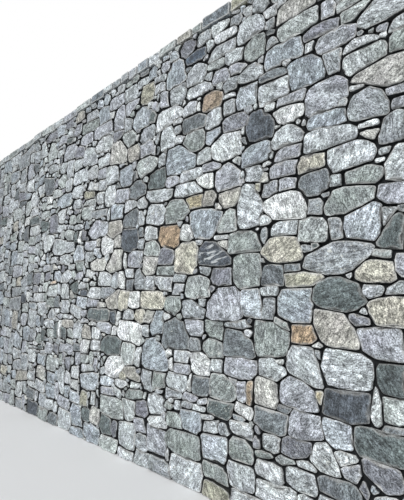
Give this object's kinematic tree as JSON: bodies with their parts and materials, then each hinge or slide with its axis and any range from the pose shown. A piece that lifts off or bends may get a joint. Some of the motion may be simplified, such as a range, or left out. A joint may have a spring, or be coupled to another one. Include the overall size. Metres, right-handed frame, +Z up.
{
  "type": "stone retaining wall",
  "caption": "Gravity retaining wall of mortared granite rubble with a plumb raked-joint face, a battered back and a levelled coping course.",
  "frame": {"origin": "middle of the wall's base, on the ground", "axes": "+X along the wall, to the right as seen from its front; +Y from the front face into the retained bank; +Z up"},
  "size_m": [7.5, 1.5, 4.2],
  "materials": {
    "granite": "matte",
    "rubble_core": "matte",
    "mortar": "matte"
  },
  "bodies": {
    "root": {"coping_mortar": "mortar", "coping_stone_01": "granite", "coping_stone_02": "granite", "coping_stone_03": "granite", "coping_stone_04": "granite", "coping_stone_05": "granite", "coping_stone_06": "granite", "coping_stone_07": "granite", "coping_stone_08": "granite", "coping_stone_09": "granite", "coping_stone_10": "granite", "coping_stone_11": "granite", "coping_stone_12": "granite", "coping_stone_13": "granite", "coping_stone_14": "granite", "coping_stone_15": "granite", "coping_stone_16": "granite", "coping_stone_17": "granite", "coping_stone_18": "granite", "coping_stone_19": "granite", "coping_stone_20": "granite", "coping_stone_21": "granite", "coping_stone_22": "granite", "coping_stone_23": "granite", "coping_stone_24": "granite", "coping_stone_25": "granite", "coping_stone_26": "granite", "facing_lift_1": "granite", "facing_lift_2": "granite", "facing_lift_3": "granite", "facing_lift_4": "granite", "facing_lift_5": "granite", "facing_lift_6": "granite", "facing_lift_7": "granite", "facing_lift_8": "granite", "hearting": "rubble_core"}
  },
  "joints": []
}
